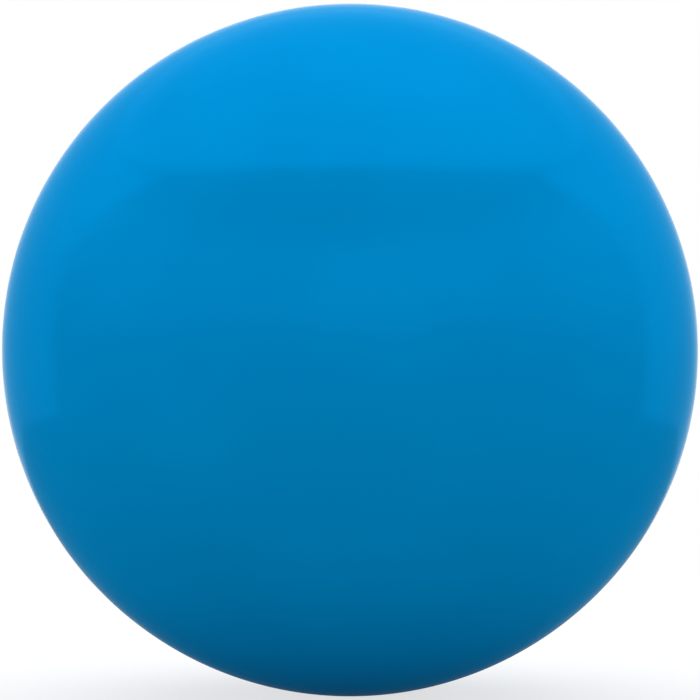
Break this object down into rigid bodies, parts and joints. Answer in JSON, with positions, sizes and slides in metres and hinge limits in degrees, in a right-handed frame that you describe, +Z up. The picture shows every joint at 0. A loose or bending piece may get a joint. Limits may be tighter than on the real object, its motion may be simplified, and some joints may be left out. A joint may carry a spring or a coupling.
{
  "type": "case opening friction ball",
  "caption": "Hand-held tacky rubber ball, air filled through a plugged needle valve, pressed on a screwed watch case back to turn it by friction.",
  "frame": {"origin": "centre of the ball", "axes": "+Y out of the valve along the axis that the plug is pulled along, with the joint of the cover halves on Y = 0; +Z up; +X along the bar on the plug's head"},
  "size_m": [0.065, 0.0649, 0.065],
  "materials": {
    "tacky_rubber": "smooth, glossy, slightly tacky",
    "gum_rubber": "matt calendered strip",
    "butyl_rubber": "matt, faintly dusted",
    "valve_rubber": "moulded, satin",
    "core_rubber": "soft, satin",
    "plug_vinyl": "moulded, satin"
  },
  "bodies": {
    "ball": {"cover_front": "tacky_rubber", "cover_rear": "tacky_rubber", "seam_strip": "gum_rubber", "bladder": "butyl_rubber", "bladder_patch": "butyl_rubber", "valve_housing": "valve_rubber", "valve_core": "core_rubber"},
    "plug": {"valve_plug": "plug_vinyl"}
  },
  "joints": [
    {"name": "plug_pull", "type": "slide", "parent": "ball", "child": "plug", "axis": [0, 1, 0], "range_m": [0, 0.0105]}
  ]
}
